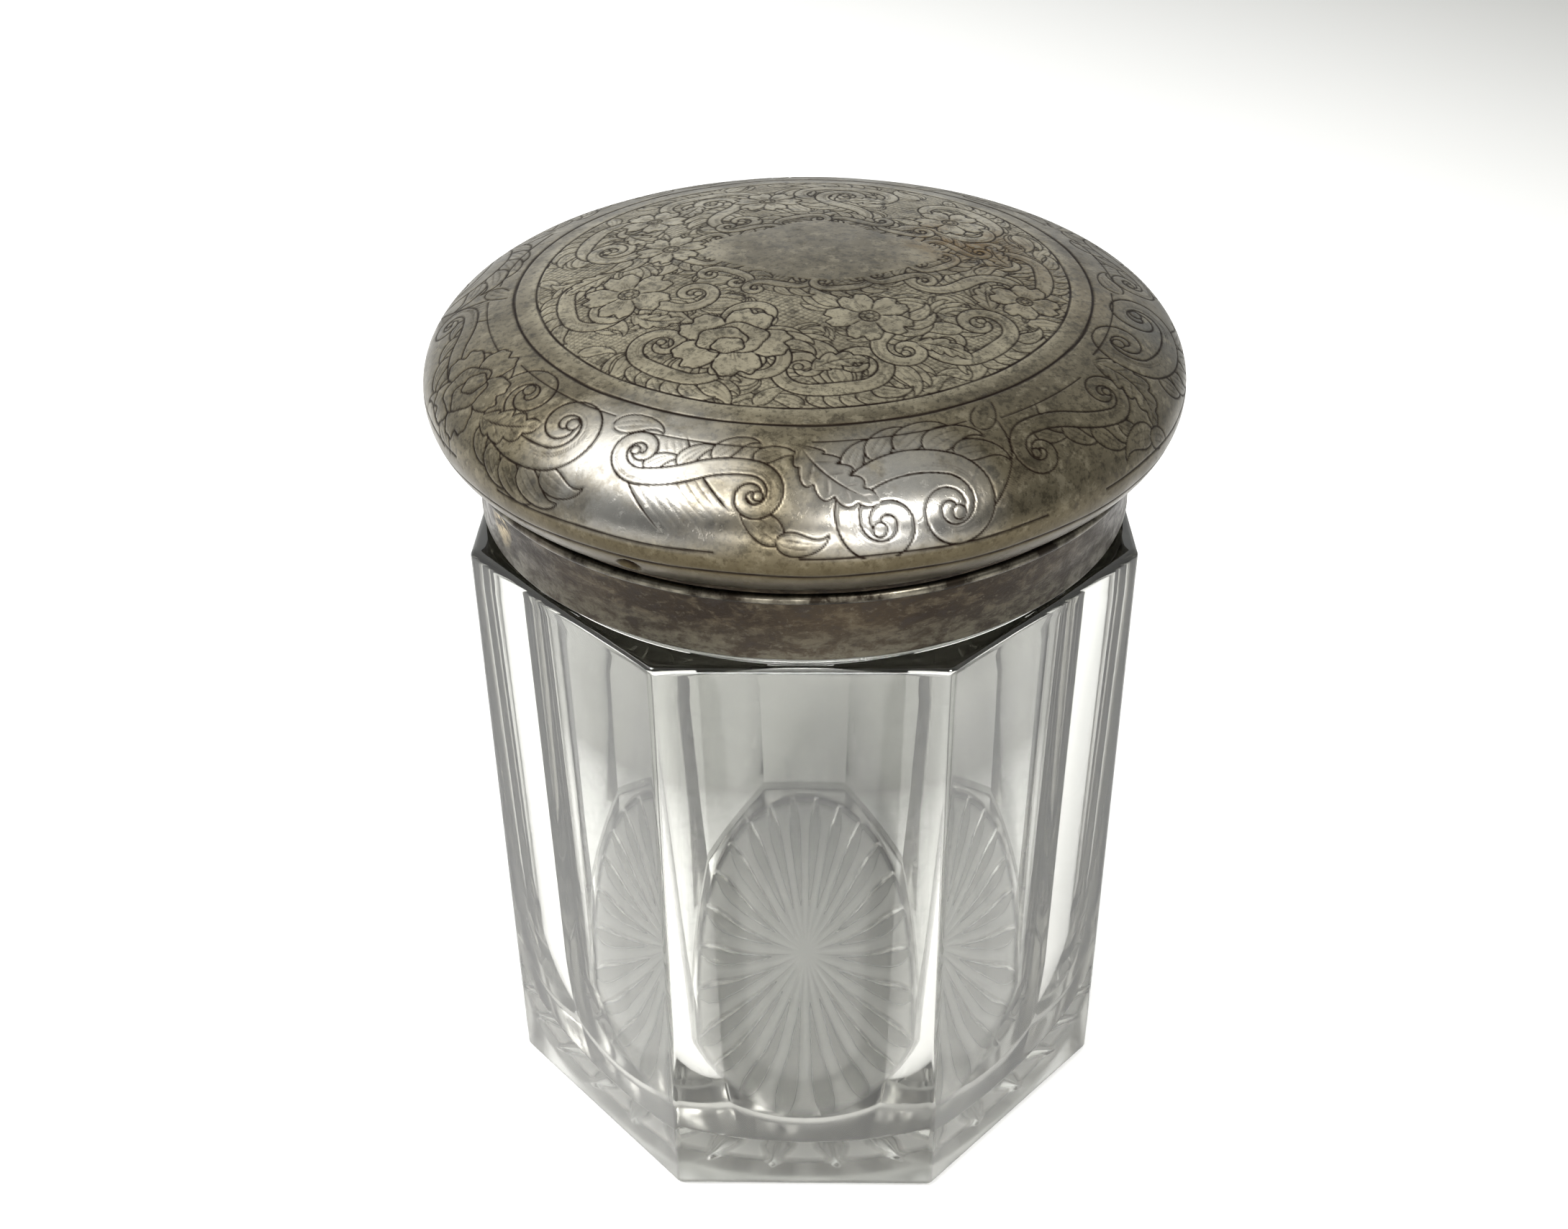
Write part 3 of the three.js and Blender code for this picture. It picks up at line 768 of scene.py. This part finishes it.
def engrave_centre(plate):
    """Scrolls, leaves and flowers between the blank shield and the inner circle."""
    hatch(plate, 29.9)
    for k in range(40):
        where = 360 * k / 40 + rng.uniform(-2, 2)
        hand = 1 if k % 4 < 2 else -1
        heading = math.radians(where + 90) + hand * rng.uniform(0.3, 0.9)
        lobe(plate, polar(29.9, where), heading, 4.0, hand, 0.17)
    golden = math.degrees(TURN * (1 - 1 / 1.618))
    fans = 84
    for k in range(fans):
        place = polar(math.sqrt(81 + 700 * (k + 0.5) / fans), golden * k)
        facing = rng.uniform(0, TURN)
        for spread in (-0.9, 0.9, -0.45, 0.45, 0.0):
            lobe(plate, place, facing + spread, 5.0 - abs(spread), 1 if spread < 0 else -1, 0.17)
    for k in range(9):
        where = 360 * k / 9 + 8
        heading = math.radians(where) + rng.uniform(-0.15, 0.15)
        curl = rng.uniform(3.5, 4.1)
        scroll(plate, polar(27.3, where), heading, 6.0, 16, curl, 1, "C", 2.1, 5, 1.3, 0.2)
        lobe(plate, polar(23.0, where), math.radians(where + 90) + rng.uniform(-0.6, 0.6), 5.2, 1, 0.2)
    for k in range(8):
        where = 360 * k / 8 + 30
        hand = -1 if k % 2 else 1
        heading = math.radians(where) + hand * rng.uniform(0.2, 0.6)
        scroll(plate, polar(18.6, where), heading, 5.5, 9, rng.uniform(3.1, 3.7), hand, "S", 2.0, 5, 1.3, 0.2)
    for k in range(12):
        where = 360 * k / 12 + 3
        place = polar(22.6 + rng.uniform(-1.5, 1.5), where)
        heading = math.radians(where) + rng.uniform(-1.2, 1.2)
        leaf(plate, place, heading, 6.4, 3.4, rng.uniform(-1.3, 1.3), 4, 0.19)
    for k in range(12):
        angle = TURN * k / 12 + 0.2
        outline = shield_outline(1.5)
        place = outline[int(240 * (angle % TURN) / TURN) % 240]
        beyond = outline[(int(240 * (angle % TURN) / TURN) + 3) % 240]
        heading = math.atan2(*(beyond - place)[::-1])
        hand = -1 if k % 3 == 1 else 1
        scroll(plate, place, heading, 4.0, 10, 1.7, hand, "C" if k % 2 else "S", 1.3, 3, 1.15, 0.18)
    plate.clear(shield_outline(-0.4))
    flowers = ((-19.1, -6.9, 5.4, 5), (-15.2, 4.2, 4.3, 6), (7.2, -13.6, 5.1, 5), (24.4, -7.4, 4.2, 4),
               (17.5, 13.6, 4.5, 5), (-4.5, 20.0, 4.4, 6), (-18.0, 14.6, 4.2, 5))
    for k, (across, along, radius, petals) in enumerate(flowers):
        blossom(plate, (across, along), radius, petals, 0.7 * k, 0.18, 0.2)
    rose(plate, (-7.4, -18.4), 6.7, 0.5, 0.22)


def engrave_border(plate):
    """Large open scrolls with shaded straps, leaves and one poppy on the rolled edge."""
    units = 6
    for k in range(units):
        where = 360 * k / units + 14
        heading = math.radians(where)
        hand = 1 if k % 2 else -1
        strap = np.linspace(0, 1, 40)
        for stroke in range(9):
            bow = 2.6 * np.sin(math.pi * strap) * (1 - 0.09 * stroke)
            bearing = where + 19 + 1.1 * stroke + (9 * strap - bow) * hand
            line = polar(35.6 + (10.5 - 0.35 * stroke) * strap, bearing)
            edge = stroke in (0, 8)
            plate.cut(line, 0.2 if edge else 0.12, 1.0 if edge else 0.55, 0.1 if edge else 0.3)
        lean = 0.5 + 0.5 * hand
        scroll(plate, polar(39.4, where + 31), heading + lean, 12, 13, 3.0, -hand, "S", 2.0, 4, 1.25, 0.2)
        leaf(plate, polar(35.6, where + 46), heading - 0.35, 10.5, 5.2, 1.0 * hand, 5, 0.19)
        scroll(plate, polar(42.6 if hand > 0 else 38.6, where + 1), heading - 0.1 * hand, 10, 12,
               4.3 if k % 3 else 4.7, hand, "C", 2.8, 5, 1.3, 0.22)
        lobe(plate, polar(45.8, where - 16), heading + 2.4, 6.0, hand, 0.19)
        lobe(plate, polar(45.8, where - 17), heading - 0.6, 5.0, -hand, 0.19)
        lobe(plate, polar(36.4, where + 15), heading + 0.9, 5.2, -hand, 0.19)
        ring_line(plate, 35.1, 0.18, where - 12, where + 14)
        ring_line(plate, 36.0, 0.16, where + 20, where + 40)
    poppy = polar(40.8, -62)
    rose(plate, poppy, 6.3, 2.4, 0.2)
    leaf(plate, poppy + np.array([2.0, -5.6]), -0.9, 9, 4.4, 0.8, 4, 0.2)


def engraved_plate():
    plate = Plate(PLATE_REACH, PLATE_CELL)
    _, _, xs, ys = plate.grid((-plate.reach,) * 2, (plate.reach,) * 2)
    away = np.hypot(xs, ys)
    engrave_centre(plate)
    plate.depth[away > INNER_CIRCLE] = 0
    engrave_border(plate)
    plate.depth[((away > INNER_CIRCLE) & (away < BORDER_FROM)) | (away > BORDER_TO)] = 0
    ring_line(plate, INNER_CIRCLE, 0.24)
    ring_line(plate, OUTER_CIRCLE, 0.34)
    for start in range(0, 360, 45):
        ring_line(plate, BROKEN_CIRCLE, 0.2, start, start + 34, 0.1)
    ring_line(plate, FOOT_CIRCLE, 0.24, wobble=0.08)
    return plate


# ---------------------------------------------------------------- lid

def cubic(a, b, c, d, count):
    t = np.linspace(0, 1, count).reshape(-1, 1)
    return (1 - t) ** 3 * a + 3 * (1 - t) ** 2 * t * b + 3 * (1 - t) * t ** 2 * c + t ** 3 * d


def dome_line():
    """Outer line of the dome as (radius, height): crown, shoulder, and underside down to the foot."""
    edge_height = DOME_HIGH.z - CROWN_EDGE ** 2 / (2 * CROWN_RADIUS)
    slope = -CROWN_EDGE / CROWN_RADIUS
    reach = 5.9
    radii = np.linspace(0, CROWN_EDGE, 200)[:-1]
    crown = np.stack([radii, DOME_HIGH.z - radii ** 2 / (2 * CROWN_RADIUS)], 1)
    shoulder = cubic(np.array([CROWN_EDGE, edge_height]),
                     np.array([CROWN_EDGE + reach, edge_height + slope * reach]),
                     np.array([ROLL_RADIUS, ROLL_HEIGHT + 4.9]),
                     np.array([ROLL_RADIUS, ROLL_HEIGHT]), 200)
    underside = cubic(np.array([ROLL_RADIUS, ROLL_HEIGHT]),
                      np.array([ROLL_RADIUS, ROLL_HEIGHT - 2.5]),
                      np.array([ROLL_RADIUS - 1.75, DOME_LOW.z + 1.2]),
                      np.array([DOME_FOOT_RADIUS, DOME_LOW.z]), 120)
    return np.concatenate([crown, shoulder, underside[1:]])


def even_steps(line, step):
    lengths = np.concatenate([[0], np.cumsum(np.linalg.norm(np.diff(line, axis=0), axis=1))])
    at = np.linspace(0, lengths[-1], int(lengths[-1] / step))
    return np.stack([np.interp(at, lengths, line[:, 0]), np.interp(at, lengths, line[:, 1])], 1), at


def columns_for(radius):
    """Fewer columns towards the middle, halved each time."""
    columns = FINE_COLUMNS
    while columns > 90 and radius < CROWN_EDGE * 0.62 * columns / FINE_COLUMNS:
        columns //= 2
    return columns


def vent_mark(radius, height, angle):
    """1 inside the small vent hole under the rolled edge, 0 outside it."""
    across = (angle - math.radians(360 + VENT_DEGREES)) * radius
    away = np.hypot(across, (height - VENT_HEIGHT) * 1.3)
    below_edge = height < ROLL_HEIGHT
    return np.clip((VENT_RADIUS - away) / 0.2, 0, 1) * below_edge


def build_dome():
    """The dome's sheet: its outer side carries the engraved lines and the vent, which is painted dark as
    shade, and its inner side is plain.
    """
    plate = engraved_plate()
    line, travelled = even_steps(dome_line(), RING_STEP)
    ahead = np.gradient(line, axis=0)
    ahead /= np.linalg.norm(ahead, axis=1, keepdims=True)
    outward = np.stack([-ahead[:, 1], ahead[:, 0]], 1)
    points, marks, counts = [], [], []
    first, second, third = rng.uniform(0, TURN, 3)
    for (radius, height), (out_r, out_z), distance in zip(line, outward, travelled):
        radius = max(radius, AXIS)
        angle = even_angles(columns_for(radius))
        cuts = plate.read(distance * np.sin(angle), -distance * np.cos(angle))
        hole = vent_mark(radius, height, angle)
        # The vent is only a shallow dent; its mark paints it dark as the shade inside a hole
        mark = np.maximum(np.minimum(cuts * ENGRAVING_GAIN, 1), hole)
        uneven = np.sin(3 * angle + first + 0.2 * radius) + np.sin(7 * angle + second + 0.35 * height)
        uneven += np.sin(13 * angle + third + 0.5 * radius) * min(radius / 20, 1)
        inward = ENGRAVING_DEPTH * mark + VENT_DEPTH * hole + 0.03 + 0.01 * uneven * min(radius / 10, 1)
        points.append(around(radius - out_r * inward, height - out_z * inward, angle))
        marks.append(mark)
        counts.append(len(angle))
    for i in range(len(line) - 1, 0, -12):
        radius, height = line[i] - outward[i] * SHEET
        radius = max(radius, AXIS)
        angle = even_angles(min(columns_for(radius), counts[-1]))
        points.append(around(radius, height, angle))
        marks.append(np.zeros(len(angle)))
        counts.append(len(angle))
    dome = make_piece("lid_dome_engraved", np.concatenate(points), skin_faces(counts), engraved_metal(),
                      "lid", "lid_dome")
    attribute = dome.data.attributes.new("engraving_and_vent_shade", "FLOAT", "POINT")
    attribute.data.foreach_set("value", np.concatenate(marks).astype(np.float32))


def build_lid_ring(name, profile, material, node, uneven):
    """A ring-shaped piece of the lid: a closed profile of (radius, height) turned about the axis."""
    columns = 720
    angle = even_angles(columns)
    points = []
    for radius, height in profile:
        shake = uneven * (np.sin(5 * angle + 0.7 * height) + 0.6 * np.sin(11 * angle + 1.3)
                          + 0.5 * np.sin(29 * angle + 0.4 * height))
        points.append(around(radius + 0.4 * shake, height + shake, angle))
    faces = skin_faces([columns] * len(profile), closed=False)
    last = (len(profile) - 1) * columns
    ring = np.arange(columns)
    faces += np.stack([last + ring, last + np.roll(ring, -1), np.roll(ring, -1), ring], 1).tolist()
    make_piece(name, np.concatenate(points), faces, material, "lid", node)


def build_skirt():
    """The band round the neck: a flared foot, a slight waist, and worn, uneven edges."""
    foot = SKIRT_LOW.z
    heights = np.linspace(foot + 0.25, SKIRT_HIGH.z, 60)
    share = np.clip((BAND_FLARE_FROM - heights) / (BAND_FLARE_FROM - foot), 0, 1)
    outside = BAND_WAIST + (SKIRT_HIGH.x - BAND_WAIST - 0.03) * share ** 1.6
    lip = 0.5 * SHEET
    rolled = [(outside[0] - lip + lip * math.cos(t), heights[0] - lip * 0.5 * math.sin(t))
              for t in np.linspace(0, math.pi, 9)]
    outer = list(zip(outside, heights))
    inner = list(zip(outside - SHEET, heights))
    build_lid_ring("lid_band", outer[::-1] + rolled[1:] + inner[1::8], tarnished_metal(), "lid_skirt", 0.05)


def build_bead():
    """The wire between band and dome, rubbed bright in places."""
    section = (BEAD_HIGH.z - BEAD_LOW.z) / 2
    centre = BEAD_HIGH.x - section
    height = (BEAD_HIGH.z + BEAD_LOW.z) / 2
    profile = [(centre + section * math.cos(t), height + section * math.sin(t)) for t in even_angles(20)]
    build_lid_ring("lid_bead_wire", profile, bead_metal(), "lid_bead", 0.03)


def build_pan():
    """The pan that closes the dome from below, pressed with one shallow step."""
    rise = PAN_HIGH.z - PAN_LOW.z - SHEET
    step_at = MOUTH_RADIUS - 1.0
    radii = np.concatenate([[AXIS], np.linspace(2, step_at - 2, 20),
                            np.linspace(step_at - 1.5, step_at + 1.5, 12),
                            np.linspace(step_at + 2, PAN_HIGH.x, 6)])
    heights = PAN_LOW.z + rise * 0.5 * (1 - np.tanh((radii - step_at) / 0.7))
    rings = [*zip(radii, heights), *zip(radii[::-1], heights[::-1] + SHEET)]
    columns = 360
    points = np.concatenate([around(r, z, even_angles(columns)) for r, z in rings])
    faces = skin_faces([columns] * len(rings))
    make_piece("lid_pan_pressed", points, faces, inner_metal(), "lid", "lid_pan")


# ---------------------------------------------------------------- studio

def build_floor():
    """A pale sheet of paper just under the jar, with painted shade that greys it far away to the right."""
    reach = 3.0
    below = -0.0002
    corners = [(-reach, -reach, below), (reach, -reach, below), (reach, reach, below), (-reach, reach, below)]
    mesh = bpy.data.meshes.new("floor")
    mesh.from_pydata(corners, [], [(0, 1, 2, 3)])
    shade = Shader("floor")
    across, along, _ = shade.axes(shade.place)
    far_right_shade = shade.math("ADD", across, shade.times(along, 0.6))
    paper = shade.tint((0.86, 0.86, 0.86), (0.89, 0.89, 0.885), shade.fit(shade.noise(3.0, 3.0), 0.3, 0.7))
    # Painted shade: the paper greys towards the far right, where the light falls off
    paper = shade.tint(paper, (0.42, 0.42, 0.41), shade.fit(far_right_shade, 0.05, 0.60))
    mesh.materials.append(shade.finish(paper, 0.7, {"Specular IOR Level": 0.2}))
    floor = bpy.data.objects.new("floor", mesh)
    bpy.context.scene.collection.objects.link(floor)


def build_camera():
    """The viewing angle: above and in front, looking down by about 35 degrees."""
    place = Vector((0.00183, -0.1762, 0.19007))
    pitch, yaw, roll = 0.6193, -0.0256, -0.0141
    forward = Vector((math.sin(yaw) * math.cos(pitch), math.cos(yaw) * math.cos(pitch), -math.sin(pitch)))
    level = Vector((math.cos(yaw), -math.sin(yaw), 0))
    above = level.cross(forward)
    right = math.cos(roll) * level + math.sin(roll) * above
    up = -math.sin(roll) * level + math.cos(roll) * above
    data = bpy.data.cameras.new("camera")
    data.sensor_width = 36
    data.lens = 38.37
    data.clip_start = 0.01
    camera = bpy.data.objects.new("camera", data)
    turned = Matrix((right, up, -forward)).transposed().to_4x4()
    camera.matrix_world = Matrix.Translation(place) @ turned
    bpy.context.scene.collection.objects.link(camera)
    bpy.context.scene.camera = camera


def area_light(name, place, aim_height, width, depth, energy, colour=(1, 1, 1)):
    """A soft oval light that points at a height on the jar's axis."""
    data = bpy.data.lights.new(name, "AREA")
    data.shape = "ELLIPSE"
    data.size = width
    data.size_y = depth
    data.energy = energy
    data.color = colour
    light = bpy.data.objects.new(name, data)
    light.location = place
    light.rotation_euler = (Vector((0, 0, aim_height)) - Vector(place)).to_track_quat("-Z", "Y").to_euler()
    bpy.context.scene.collection.objects.link(light)


def build_light():
    """A room that is bright behind the jar, dark behind the camera and a little darker on the right."""
    world = bpy.data.worlds.new("room")
    bpy.context.scene.world = world
    world.use_nodes = True
    room = Nodes(world.node_tree)
    across, along, _ = room.axes(room.node("ShaderNodeTexCoord", {}, "Generated"))
    strength = room.times(room.fit(along, -0.9, 0.25, 0.08, 1.32), room.fit(across, -0.4, 0.45, 1.04, 0.74))
    background = room.tree.nodes["Background"]
    room.feed(background.inputs["Strength"], strength)
    room.feed(background.inputs["Color"], (0.99, 1.0, 0.985))
    warm = (1.0, 0.99, 0.97)
    area_light("key", (-0.40, 0.0, 0.85), 0.05, 0.7, 0.7, 4.0)
    area_light("low_fill", (0.05, -0.95, 0.30), 0.02, 0.8, 0.3, 7.0)
    area_light("front_left", (-0.38, -0.32, 0.92), 0.09, 0.34, 0.20, 6.0, warm)
    area_light("front_right", (0.29, -0.58, 0.73), 0.09, 0.28, 0.16, 5.5, warm)


build_glass()
build_dome()
build_skirt()
build_bead()
build_pan()
build_floor()
build_camera()
build_light()

scene = bpy.context.scene
scene.view_settings.view_transform = "Standard"
scene.cycles.max_bounces = 24
scene.cycles.transmission_bounces = 24
scene.cycles.glossy_bounces = 12

bpy.context.view_layer.update()
